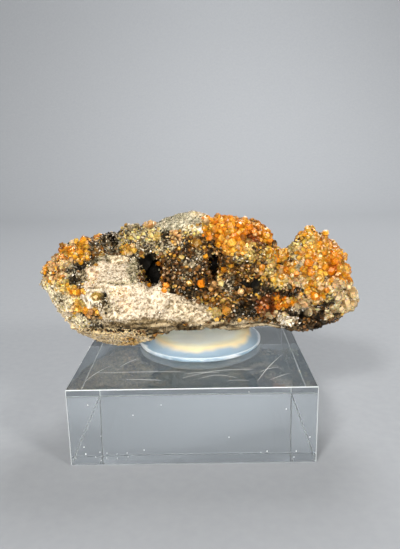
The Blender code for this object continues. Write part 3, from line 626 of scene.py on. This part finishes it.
def make_rock():
    """The rock, with its granular skin, layered lip and pits, and its ground colours, with painted shadow
    in the pits.
    """
    solids = ("matrix_rock", "garnet_crown", "garnet_knob", "garnet_shoulder", "garnet_ember")
    mesh = voxel_skin(joined_solids(solids), ROCK_VOXEL)
    mesh.name = "rock"
    points, normals = mesh_arrays(mesh)
    weights = ground_weights(points)
    grains = grain_domes(points, GRAIN_SIZE, seed=2.0)
    bend = LAYER_BEND * fractal(points, size=6.0, octaves=2, seed=6.0)
    layers = np.sin(points[:, 2] * 2 * math.pi / LAYER_SPACING + bend)
    lift = rock_lift(points, weights, grains, layers)
    set_points(mesh, points + normals * lift[:, None])
    paint(mesh, rock_colours(points, weights, grains, layers))
    mesh.shade_smooth()
    mesh.materials.append(rock_material())
    return new_piece("rock", mesh)


# Crystal shapes


def solid_from_faces(faces):
    """Shared corners and outward face indices of a small solid around the origin."""
    corners = {}
    indexed = [[corners.setdefault(corner, len(corners)) for corner in face] for face in faces]
    points = np.array(list(corners))
    outward = []
    for face in indexed:
        first, second, third = (points[index] for index in face[:3])
        facing = np.cross(second - first, third - first) @ points[face].mean(axis=0)
        outward.append(face if facing > 0 else face[::-1])
    return points, outward


def corner_point(signs, axes, reach):
    point = [0.0, 0.0, 0.0]
    for axis in axes:
        point[axis] = signs[axis] * reach
    return tuple(point)


AXIS_TURNS = ((0, 1, 2), (1, 2, 0), (2, 0, 1))


def dodecahedron():
    """Garnet with twelve rhombic faces."""
    faces = []
    for first, second, third in AXIS_TURNS:
        for sign_a, sign_b in ((-1, -1), (-1, 1), (1, -1), (1, 1)):
            near = {first: sign_a, second: sign_b, third: -1}
            far = {**near, third: 1}
            tips = corner_point(near, (first,), 1.0), corner_point(near, (second,), 1.0)
            sides = corner_point(near, (0, 1, 2), 0.5), corner_point(far, (0, 1, 2), 0.5)
            faces.append((tips[0], sides[0], tips[1], sides[1]))
    return solid_from_faces(faces)


def trapezohedron():
    """Garnet with twenty-four kite faces."""
    faces = []
    for first, second, third in AXIS_TURNS:
        for number in range(8):
            signs = [1 if number >> bit & 1 else -1 for bit in range(3)]
            kite = (((first,), 1.0), ((first, second), 2 / 3), ((0, 1, 2), 0.5), ((first, third), 2 / 3))
            faces.append([corner_point(signs, axes, reach) for axes, reach in kite])
    return solid_from_faces(faces)


def quartz_point():
    """A short six-sided prism with a pyramid at each end."""
    angles = [math.radians(60 * k) for k in range(6)]
    ring = [(QUARTZ_RADIUS * math.cos(angle), QUARTZ_RADIUS * math.sin(angle)) for angle in angles]
    faces = []
    for here, there in zip(ring, ring[1:] + ring[:1]):
        low_here, low_there = (*here, -QUARTZ_HALF), (*there, -QUARTZ_HALF)
        high_here, high_there = (*here, QUARTZ_HALF), (*there, QUARTZ_HALF)
        faces.append((low_here, low_there, high_there, high_here))
        faces.append((high_here, high_there, (0.0, 0.0, QUARTZ_TIP)))
        faces.append((low_there, low_here, (0.0, 0.0, -QUARTZ_TIP)))
    return solid_from_faces(faces)


def broken_grain(seed):
    """An irregular angular grain: the hull of a few points on a lopsided ball."""
    rng = np.random.default_rng(seed)
    spots = rng.normal(size=(BROKEN_CORNERS, 3))
    spots /= np.linalg.norm(spots, axis=1)[:, None]
    spots *= rng.uniform(*BROKEN_REACH, size=(BROKEN_CORNERS, 1)) * np.array(BROKEN_STRETCH)
    bm = bmesh.new()
    for spot in spots:
        bm.verts.new(spot)
    hull = bmesh.ops.convex_hull(bm, input=bm.verts)
    bmesh.ops.delete(bm, geom=hull["geom_interior"], context="VERTS")
    faces = [tuple(tuple(corner.co) for corner in face.verts) for face in bm.faces]
    bm.free()
    return solid_from_faces(faces)


def random_turns(count):
    """Evenly random rotation matrices."""
    quaternion = RNG.normal(size=(count, 4))
    quaternion /= np.linalg.norm(quaternion, axis=1)[:, None]
    w, x, y, z = quaternion.T
    rows = np.array(
        [
            [1 - 2 * (y * y + z * z), 2 * (x * y - z * w), 2 * (x * z + y * w)],
            [2 * (x * y + z * w), 1 - 2 * (x * x + z * z), 2 * (y * z - x * w)],
            [2 * (x * z - y * w), 2 * (y * z + x * w), 1 - 2 * (x * x + y * y)],
        ]
    )
    return np.moveaxis(rows, 2, 0)


# Growing the crystals


def sample_surface(mesh, count):
    """Evenly random points on a mesh, in millimetres, with their normals."""
    mesh.calc_loop_triangles()
    corners = np.empty(len(mesh.loop_triangles) * 3, dtype=np.int32)
    mesh.loop_triangles.foreach_get("vertices", corners)
    corners = corners.reshape(-1, 3)
    points, normals = mesh_arrays(mesh)
    first, second, third = (points[corners[:, k]] for k in range(3))
    areas = np.linalg.norm(np.cross(second - first, third - first), axis=1)
    picked = RNG.choice(len(corners), size=count, p=areas / areas.sum())
    blend = RNG.random((count, 2))
    over = blend.sum(axis=1) > 1
    blend[over] = 1 - blend[over]
    spots = first[picked] + blend[:, :1] * (second - first)[picked] + blend[:, 1:] * (third - first)[picked]
    facing = normals[corners[picked]].mean(axis=1)
    facing /= np.linalg.norm(facing, axis=1)[:, None]
    return spots, facing


def solitaires_on(rock_mesh):
    """The crystals that stand out, where their sight lines meet the rock."""
    corners = [vertex.co / MM for vertex in rock_mesh.vertices]
    tree = BVHTree.FromPolygons(corners, [tuple(face.vertices) for face in rock_mesh.polygons])
    found = []
    for habit, across, down, radius in SOLITAIRES:
        spot, facing, _, _ = tree.ray_cast(Vector(EYE), sight_line(across, down))
        if spot is not None:
            found.append((habit, np.array(spot + facing * radius * STAND_OUT), np.array(facing), radius))
    return found


def wanted_crystals(rock_mesh):
    """Candidate crystals all over the rock: habits, spots, facings and radii, biggest first."""
    spots, facing = sample_surface(rock_mesh, CANDIDATES)
    weights = ground_weights(spots)
    edges = np.cumsum(weights, axis=1)
    chosen = (RNG.random((len(spots), 1)) > edges).sum(axis=1).clip(max=len(GROUNDS) - 1)
    luck = RNG.random(len(spots))
    sizes = RNG.random(len(spots)) ** SMALL_FAVOUR
    light = speckle(spots, weights) + RNG.uniform(-SPECKLE_BLUR, SPECKLE_BLUR, len(spots))
    grown = []
    growths = [ground[3] for ground in GROUNDS.values()]
    for index, ground in enumerate(chosen):
        mark = luck[index]
        for habit, share, low, high in growths[ground]:
            mark -= share
            if mark < 0:
                radius = low + (high - low) * sizes[index]
                shade = light[index] if habit in DARK_HABITS else -light[index]
                if shade < SPECKLE_LIMIT or radius > SPECKLE_BIG:
                    grown.append((habit, spots[index], facing[index], radius))
                break
    grown.sort(key=lambda crystal: -crystal[3])
    return grown


def spaced_crystals(rock_mesh):
    """The crystals that find room, the ones that stand out first and then the biggest."""
    alone = solitaires_on(rock_mesh)
    crystals = alone + wanted_crystals(rock_mesh)
    tree = kdtree.KDTree(len(crystals))
    for index, crystal in enumerate(crystals):
        tree.insert(crystal[1], index)
    tree.balance()
    blocked = np.zeros(len(crystals), dtype=bool)
    kept = []
    for index, crystal in enumerate(crystals):
        if blocked[index]:
            continue
        kept.append(crystal)
        own_room = crystal[3] * (ALONE_ROOM if index < len(alone) else OWN_ROOM)
        for _, other, apart in tree.find_range(crystal[1], own_room + LARGEST * NEIGHBOUR_ROOM):
            if apart < own_room + crystals[other][3] * NEIGHBOUR_ROOM:
                blocked[other] = True
    return kept


def crystal_mesh(name, solids, crystals, rooted):
    """Many copies of a few small solids in one mesh, each with its own turn, stretch and tint, with
    painted shade towards its root and painted light and shade that differs from face to face; the big
    ones are even and leave out the last solid."""
    large = np.array([radius > WELL_FORMED for _, _, _, radius in crystals])
    which = RNG.integers(len(solids) - large)
    points, faces, colours = [], [], []
    offset = 0
    for number, (base, base_faces) in enumerate(solids):
        chosen = np.flatnonzero(which == number)
        members = [crystals[k] for k in chosen]
        if not members:
            continue
        centres = np.array([spot - facing * radius * rooted for _, spot, facing, radius in members])
        sizes = np.array([radius for _, _, _, radius in members])
        uneven = np.where(large[chosen], EVEN_STRETCH, UNEVEN_STRETCH)[:, None, None]
        stretch = MEAN_STRETCH + uneven * RNG.uniform(-1, 1, size=(len(members), 1, 3))
        shaped = base[None] * stretch * sizes[:, None, None]
        turned = np.einsum("nij,nkj->nki", random_turns(len(members)), shaped)
        points.append((turned + centres[:, None]).reshape(-1, 3))
        facings = np.array([facing for _, _, facing, _ in members])
        height = np.einsum("nkj,nj->nk", turned, facings) / sizes[:, None]
        # painted shade: each crystal is darker towards its root, where it meets the rock
        shade = ROOT_SHADE + (1 - ROOT_SHADE) * smooth_step(-ROOT_EDGE, ROOT_EDGE, height)
        for copy in range(len(members)):
            start = offset + copy * len(base)
            faces.extend([start + corner for corner in face] for face in base_faces)
        tints = np.array([own_tint(habit) for habit, _, _, _ in members]) * tone(centres)[:, None]
        colours.append(np.repeat(tints, len(base), axis=0) * warmed(shade.ravel()))
        offset += len(members) * len(base)
    mesh = bpy.data.meshes.new(name)
    mesh.from_pydata((np.concatenate(points) * MM).tolist(), [], faces)
    corners = np.concatenate(faces)
    # painted light and shade: each face is lightened or darkened at random, standing in for light caught
    # inside the crystal
    facet_painted_light = np.repeat(RNG.uniform(*FACET_PAINTED_LIGHT, len(faces)), [len(face) for face in faces])
    paint(mesh, np.concatenate(colours)[corners] * warmed(facet_painted_light), "CORNER")
    return mesh


def own_tint(habit):
    low, high = (np.array(colour) for colour in TINTS[habit])
    return (low + (high - low) * RNG.random()) * RNG.uniform(*TINT_SHADES)


def cluster_name(spot, boxes):
    """The garnet cluster that a spot belongs to, by the solids' boxes."""
    for node, (low, high) in boxes.items():
        if all(low[k] / MM - CLUSTER_MARGIN <= spot[k] <= high[k] / MM + CLUSTER_MARGIN for k in range(3)):
            return CLUSTERS[node]
    return "hollow_garnets"


CLUSTERS = {
    "garnet_ember": "ember_garnets",
    "garnet_crown": "crown_garnets",
    "garnet_knob": "knob_garnets",
    "garnet_shoulder": "shoulder_garnets",
}

HABITS_OF_KIND = {
    "garnet": ("vivid", "gold", "amber", "yellow", "pink", "buff", "brown", "ember"),
    "feldspar_grains": ("cream", "glint"),
    "stone_grains": ("tan", "sage"),
    "smoky_quartz": ("smoky",),
}
KIND_OF_HABIT = {habit: kind for kind, habits in HABITS_OF_KIND.items() for habit in habits}


def make_crystals(rock_mesh):
    """The crystal pieces by name: garnets by cluster, and the smaller minerals each in one piece."""
    grains = [broken_grain(seed) for seed in (3, 5, 8, 13)]
    shapes = {
        "garnet": [dodecahedron(), trapezohedron(), dodecahedron(), broken_grain(17)],
        "feldspar_grains": grains,
        "stone_grains": grains,
        "smoky_quartz": [quartz_point(), broken_grain(21), broken_grain(34)],
    }
    finishes = {
        "garnet": garnet_material(),
        "feldspar_grains": grain_material("feldspar_grain", roughness=0.3, transmission=0.15),
        "stone_grains": grain_material("stone_grain", roughness=0.42, transmission=0.0),
        "smoky_quartz": smoky_quartz_material(),
    }
    boxes = {node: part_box(node) for node in CLUSTERS}
    groups = {}
    for crystal in spaced_crystals(rock_mesh):
        kind = KIND_OF_HABIT[crystal[0]]
        name = cluster_name(crystal[1], boxes) if kind == "garnet" else kind
        groups.setdefault((name, kind), []).append(crystal)
    pieces = {}
    for (name, kind), crystals in groups.items():
        mesh = crystal_mesh(name, shapes[kind], crystals, ROOTED[kind])
        mesh.materials.append(finishes[kind])
        pieces[name] = new_piece(name, mesh)
    return pieces


# Materials


def new_material(name):
    """A material and its node tree."""
    made = bpy.data.materials.new(name)
    made.use_nodes = True
    return made, made.node_tree


def shaded(made, values):
    """The material, once its shader's inputs are set."""
    fill_inputs(made.node_tree, made.node_tree.nodes["Principled BSDF"], values)
    return made


def fill_inputs(tree, node, values):
    """Sets a node's inputs, each to a value or to another node's output."""
    for name, value in values.items():
        if isinstance(value, bpy.types.NodeSocket):
            tree.links.new(value, node.inputs[name])
        else:
            node.inputs[name].default_value = value


def new_node(tree, kind, values, operation=None):
    node = tree.nodes.new("ShaderNode" + kind)
    if operation:
        node.operation = operation
    fill_inputs(tree, node, values)
    return node


def object_place(tree):
    return new_node(tree, "TexCoord", {}).outputs["Object"]


def object_noise(tree, scale, detail):
    values = {"Vector": object_place(tree), "Scale": scale, "Detail": detail}
    return new_node(tree, "TexNoise", values).outputs["Fac"]


def spread_value(tree, value, source, target):
    """A value moved from one range to another."""
    names = ("From Min", "From Max", "To Min", "To Max")
    values = {"Value": value, **dict(zip(names, (*source, *target)))}
    return new_node(tree, "MapRange", values).outputs["Result"]


def math_result(tree, operation, first, second):
    return new_node(tree, "Math", {0: first, 1: second}, operation).outputs["Value"]


def ramp_colour(tree, share, stops):
    """A colour from a ramp of positions and colours."""
    ramp = new_node(tree, "ValToRGB", {"Fac": share})
    elements = ramp.color_ramp.elements
    while len(elements) < len(stops):
        elements.new(0.5)
    for element, (position, colour) in zip(elements, stops):
        element.position = position
        element.color = (*colour, 1)
    return ramp.outputs["Color"]


def bumped(tree, height, strength, distance):
    values = {"Height": height, "Strength": strength, "Distance": distance}
    return new_node(tree, "Bump", values).outputs["Normal"]


def tinted(tree, texture, shades):
    """The painted tint, darkened and lightened by noise."""
    layer = new_node(tree, "VertexColor", {})
    layer.layer_name = "tint"
    strength = spread_value(tree, texture, NOISE_RANGE, shades)
    values = {"Vector": layer.outputs["Color"], "Scale": strength}
    return new_node(tree, "VectorMath", values, "SCALE").outputs["Vector"]


def rock_material():
    made, tree = new_material("rock")
    texture = object_noise(tree, scale=1500.0, detail=4.0)
    values = {
        "Base Color": tinted(tree, texture, shades=(0.6, 1.25)),
        "Roughness": 0.6,
        "Specular IOR Level": 0.06,
        "Normal": bumped(tree, texture, strength=0.7, distance=0.0004),
    }
    return shaded(made, values)


def garnet_material():
    made, tree = new_material("garnet")
    texture = object_noise(tree, scale=800.0, detail=3.0)
    finer = object_noise(tree, scale=1900.0, detail=2.0)
    values = {
        "Base Color": tinted(tree, texture, shades=(0.7, 1.05)),
        "Roughness": spread_value(tree, texture, (0.35, 0.7), (0.22, 0.42)),
        "IOR": 1.8,
        "Specular IOR Level": 0.35,
        "Specular Tint": (1.0, 0.84, 0.58, 1),
        "Transmission Weight": 0.35,
        "Subsurface Weight": 0.3,
        "Subsurface Radius": (1.0, 0.4, 0.1),
        "Subsurface Scale": 1.2 * MM,
        "Normal": bumped(tree, finer, strength=0.45, distance=0.0003),
    }
    return shaded(made, values)


def grain_material(name, roughness, transmission):
    made, tree = new_material(name)
    texture = object_noise(tree, scale=1300.0, detail=4.0)
    values = {
        "Base Color": tinted(tree, texture, shades=(0.75, 1.15)),
        "Roughness": roughness,
        "IOR": 1.53,
        "Transmission Weight": transmission,
        "Normal": bumped(tree, texture, strength=0.3, distance=0.0002),
    }
    return shaded(made, values)


def smoky_quartz_material():
    made, tree = new_material("smoky_quartz")
    values = {
        "Base Color": tinted(tree, object_noise(tree, scale=900.0, detail=3.0), shades=(0.6, 1.4)),
        "Roughness": 0.2,
        "Specular Tint": (1.0, 0.92, 0.80, 1),
        "IOR": 1.54,
        "Transmission Weight": 0.3,
    }
    return shaded(made, values)


def edge_mask(tree, low, high, width):
    """1 on the edges of a box and 0 on its faces, by how near each point is to two faces at once."""
    parts = new_node(tree, "SeparateXYZ", {"Vector": object_place(tree)}).outputs
    gaps = []
    for axis, least, most in zip("XYZ", low, high):
        away = math_result(tree, "SUBTRACT", parts[axis], (most + least) / 2)
        away = math_result(tree, "ABSOLUTE", away, 0.0)
        gaps.append(math_result(tree, "SUBTRACT", (most - least) / 2, away))
    nearer = math_result(tree, "MINIMUM", gaps[0], gaps[1])
    farther = math_result(tree, "MAXIMUM", gaps[0], gaps[1])
    farther = math_result(tree, "MINIMUM", farther, gaps[2])
    second_gap = math_result(tree, "MAXIMUM", nearer, farther)
    outline = (width * (1 - EDGE_BLUR), width * (1 + EDGE_BLUR))
    return spread_value(tree, second_gap, outline, (1.0, 0.0))


def acrylic_material():
    """Clear acrylic with a faint haze on its faces and worn, whitened edges."""
    made, tree = new_material("acrylic")
    edges = edge_mask(tree, *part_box("acrylic_block"), BLOCK_CHAMFER * MM)
    haze = spread_value(tree, object_noise(tree, scale=60.0, detail=4.0), (0.45, 0.7), (0.0, HAZE))
    roughness = math_result(tree, "ADD", haze, math_result(tree, "MULTIPLY", edges, EDGE_ROUGHNESS))
    values = {
        "Base Color": (0.87, 0.925, 0.95, 1),
        "Roughness": roughness,
        "IOR": 1.49,
        "Transmission Weight": spread_value(tree, edges, (0.0, 1.0), (1.0, EDGE_CLEARNESS)),
    }
    return shaded(made, values)


def frost_material():
    """The whitened plastic of scratches and the pale fluff of dust."""
    made, tree = new_material("frost")
    stops = ((0.0, (0.72, 0.75, 0.78)), (1.0, (0.95, 0.96, 0.97)))
    colour = ramp_colour(tree, object_noise(tree, scale=900.0, detail=3.0), stops)
    return shaded(made, {"Base Color": colour, "Roughness": 0.5, "Transmission Weight": 0.1})


def disc_place():
    """The middle of the disc's underside, its height and its radius, in metres."""
    low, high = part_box("opal_glass_disc")
    foot = ((low[0] + high[0]) / 2, (low[1] + high[1]) / 2, low[2])
    return foot, high[2] - low[2], (high[0] - low[0]) / 2


def opal_material():
    """Milky glass: painted warm in the middle for light coming through, blue and then white at the rim as a
    painted highlight, with a faint painted glow.
    """
    made, tree = new_material("opal_glass")
    foot, height, radius = disc_place()
    top = (foot[0], foot[1], foot[2] + height)
    reach = new_node(tree, "VectorMath", {0: object_place(tree), 1: top}, "DISTANCE")
    share = spread_value(tree, reach.outputs["Value"], (0.0, radius * OPAL_REACH), (0.0, 1.0))
    ripple = object_noise(tree, scale=90.0, detail=2.0)
    ripple = spread_value(tree, ripple, NOISE_RANGE, (-OPAL_RIPPLE, OPAL_RIPPLE))
    colour = ramp_colour(tree, math_result(tree, "ADD", share, ripple), OPAL_COLOURS_AND_PAINTED_LIGHT)
    values = {
        "Base Color": colour,
        "Roughness": 0.35,
        "IOR": 1.5,
        "Coat Weight": 0.6,
        "Coat Roughness": 0.06,
        "Transmission Weight": 0.15,
        "Subsurface Weight": 1.0,
        "Subsurface Radius": (1.0, 0.9, 0.8),
        "Subsurface Scale": 16 * MM,
        # painted glow: the glass gives off a faint light in its own colours, brightening it where the rock
        # shades it
        "Emission Color": colour,
        "Emission Strength": 0.13,
    }
    return shaded(made, values)


def room_material():
    made, tree = new_material("room")
    stops = ((0.0, (0.27, 0.29, 0.32)), (1.0, (0.31, 0.33, 0.36)))
    colour = ramp_colour(tree, object_noise(tree, scale=300.0, detail=3.0), stops)
    return shaded(made, {"Base Color": colour, "Roughness": 0.8})


# The stand


def disc_profile(radius, height):
    """Half the disc's section from the top's middle to the foot's middle, as (radius, level)."""
    top = radius - DISC_FLARE
    profile = [(0.0, height), (top * 0.5, height), (top, height)]
    for step in range(1, FLARE_STEPS + 1):
        part = step / FLARE_STEPS
        bend = 0.5 - 0.5 * math.cos(math.pi * part)
        profile.append((top + DISC_FLARE * part, height - (height - 2 * DISC_FOOT_ROUND) * bend))
    for step in range(1, FOOT_STEPS):
        angle = math.radians(90 - 180 * step / FOOT_STEPS)
        out = radius - DISC_FOOT_ROUND + DISC_FOOT_ROUND * math.cos(angle)
        profile.append((out, DISC_FOOT_ROUND + DISC_FOOT_ROUND * math.sin(angle)))
    profile += [(radius - DISC_FOOT_ROUND, 0.0), (0.0, 0.0)]
    return profile


def turned_mesh(name, profile):
    """A closed mesh from a section turned about the upright axis, in millimetres."""
    bm = bmesh.new()
    rings = []
    for radius, level in profile:
        corners = TURN_STEPS if radius > 0 else 1
        angles = [2 * math.pi * k / corners for k in range(corners)]
        rings.append([bm.verts.new((radius * math.cos(a), radius * math.sin(a), level)) for a in angles])
    for upper, lower in zip(rings, rings[1:]):
        for k in range(TURN_STEPS):
            turns = ((upper, k), (lower, k), (lower, k + 1), (upper, k + 1))
            bm.faces.new(dict.fromkeys(ring[turn % len(ring)] for ring, turn in turns))
    bmesh.ops.recalc_face_normals(bm, faces=bm.faces)
    mesh = finished_mesh(bm, name)
    mesh.transform(Matrix.Scale(MM, 4))
    return mesh


def make_disc():
    """The opal glass disc, in its solid's place."""
    foot, height, radius = disc_place()
    mesh = turned_mesh("opal_disc", disc_profile(radius / MM, height / MM))
    mesh.transform(Matrix.Translation(foot))
    mesh.shade_smooth()
    mesh.materials.append(opal_material())
    return new_piece("opal_disc", mesh)


def bowed_line(start, end, bow, steps):
    """Points along a line that bows sideways."""
    start, end = Vector(start), Vector(end)
    side = Vector((start.y - end.y, end.x - start.x)).normalized()
    shares = [k / steps for k in range(steps + 1)]
    return [start.lerp(end, share) + side * bow * math.sin(math.pi * share) for share in shares]


def make_scratches():
    """Hairline scratches on the block's top, each a closed sliver with a sharp ridge."""
    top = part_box("acrylic_block")[1][2] / MM
    bm = bmesh.new()
    for start, end, bow in SCRATCHES:
        route = bowed_line(start, end, bow, SCRATCH_STEPS)
        rings = []
        for k, spot in enumerate(route):
            ahead = route[min(k + 1, len(route) - 1)] - route[max(k - 1, 0)]
            side = Vector((-ahead.y, ahead.x)).normalized() * SCRATCH_WIDTH / 2
            side *= SCRATCH_END + (1 - SCRATCH_END) * math.sin(math.pi * (k + 0.5) / len(route))
            corners = (*(spot + side), top), (*spot, top + SCRATCH_RISE), (*(spot - side), top)
            rings.append([bm.verts.new(corner) for corner in corners])
        for here, there in zip(rings, rings[1:]):
            for k in range(3):
                bm.faces.new((here[k], here[(k + 1) % 3], there[(k + 1) % 3], there[k]))
        bm.faces.new(rings[0])
        bm.faces.new(rings[-1])
    bmesh.ops.recalc_face_normals(bm, faces=bm.faces)
    mesh = finished_mesh(bm, "block_scratches")
    mesh.transform(Matrix.Scale(MM, 4))
    return new_piece("block_scratches", mesh)


def make_dust():
    """Specks of dust on the block's front face and top, and nicks along its top edge."""
    low, high = (np.array(corner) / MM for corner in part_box("acrylic_block"))
    specks = []
    for across, down in FRONT_DUST:
        line = sight_line(across, down)
        reach = (low[1] - EYE[1]) / line.y
        specks.append((np.array(EYE) + reach * np.array(line), RNG.uniform(*FRONT_DUST_SIZES)))
    for _ in range(TOP_DUST):
        x, y = RNG.uniform(low[:2] + EDGE_MARGIN, high[:2] - EDGE_MARGIN)
        specks.append((np.array((x, y, high[2])), RNG.uniform(*TOP_DUST_SIZES)))
    for _ in range(EDGE_NICKS):
        side = RNG.integers(4)
        along = RNG.uniform(low[0] + EDGE_MARGIN, high[0] - EDGE_MARGIN)
        edge = (low[1], high[1], low[0], high[0])[side]
        spot = (along, edge, high[2]) if side < 2 else (edge, along, high[2])
        sunk = np.array(spot) - NICK_SINK * np.sign((spot[0], spot[1], 1))
        specks.append((sunk, RNG.uniform(*NICK_SIZES)))
    crystals = [("glint", spot, np.zeros(3), radius) for spot, radius in specks]
    grains = [broken_grain(7), broken_grain(11)]
    return new_piece("block_dust", crystal_mesh("block_dust", grains, crystals, rooted=0.0))


# Room, light and view


def make_room():
    """A pale floor that curves up into a backdrop."""
    profile = [(ROOM_FRONT, 0.0), (ROOM_BACK, 0.0)]
    for step in range(1, ROOM_STEPS + 1):
        angle = math.radians(90 * step / ROOM_STEPS)
        level = ROOM_BEND - ROOM_BEND * math.cos(angle)
        profile.append((ROOM_BACK + ROOM_BEND * math.sin(angle), level))
    profile.append((ROOM_BACK + ROOM_BEND, ROOM_HEIGHT))
    bm = bmesh.new()
    sides = (-ROOM_HALF_WIDTH, ROOM_HALF_WIDTH)
    left, right = ([bm.verts.new((side, depth, level)) for depth, level in profile] for side in sides)
    for k in range(len(profile) - 1):
        bm.faces.new((left[k], right[k], right[k + 1], left[k + 1]))
    mesh = finished_mesh(bm, "room")
    mesh.shade_smooth()
    mesh.materials.append(room_material())
    room = new_piece("room", mesh)
    room.location.z = -ROOM_DROP


def area_light(name, place, size, power, colour, spread):
    data = bpy.data.lights.new(name, "AREA")
    data.size = size
    data.energy = power
    data.color = colour
    data.spread = math.radians(spread)
    light = new_piece(name, data)
    light.location = place
    light.visible_transmission = False
    light.rotation_euler = (Vector(LAMPS_AIM) - Vector(place)).to_track_quat("-Z", "Y").to_euler()


def make_light():
    world = bpy.data.worlds.new("world")
    world.use_nodes = True
    sky = {"Color": SKY_COLOUR, "Strength": SKY_STRENGTH}
    fill_inputs(world.node_tree, world.node_tree.nodes["Background"], sky)
    bpy.context.scene.world = world
    for lamp in LAMPS:
        area_light(*lamp)


def make_camera():
    data = bpy.data.cameras.new("camera")
    data.lens = LENS
    data.sensor_width = SENSOR
    data.clip_start = NEAR_CLIP
    camera = new_piece("camera", data)
    right, up, forward = view_axes()
    turned = Matrix((right, up, -forward)).transposed()
    camera.matrix_world = Matrix.Translation(Vector(EYE) * MM) @ turned.to_4x4()
    bpy.context.scene.camera = camera


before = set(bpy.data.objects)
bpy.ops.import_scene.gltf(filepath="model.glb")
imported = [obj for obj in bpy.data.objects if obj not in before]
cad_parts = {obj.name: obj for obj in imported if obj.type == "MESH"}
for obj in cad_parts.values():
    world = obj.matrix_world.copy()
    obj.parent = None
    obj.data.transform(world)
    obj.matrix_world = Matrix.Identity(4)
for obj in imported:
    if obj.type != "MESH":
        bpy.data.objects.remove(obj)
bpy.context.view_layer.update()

make_camera()
make_room()
make_light()
bpy.context.scene.view_settings.view_transform = "Standard"
bpy.context.scene.view_settings.exposure = 0.0

rock = make_rock()
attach(rock, "root")
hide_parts("matrix_rock")

pieces = make_crystals(rock.data)
for node, name in CLUSTERS.items():
    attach(pieces[name], "root")
    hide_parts(node)
for name, slot_name in (
    ("hollow_garnets", "garnet"),
    ("feldspar_grains", "matrix"),
    ("stone_grains", "matrix"),
    ("smoky_quartz", "matrix"),
):
    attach(pieces[name], "root")

disc = make_disc()
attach(disc, "root")
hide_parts("opal_glass_disc")

frost = frost_material()
for marks in (make_scratches(), make_dust()):
    marks.data.materials.append(frost)
    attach(marks, "root")

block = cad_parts["acrylic_block"]
block.data.materials.clear()
block.data.materials.append(acrylic_material())
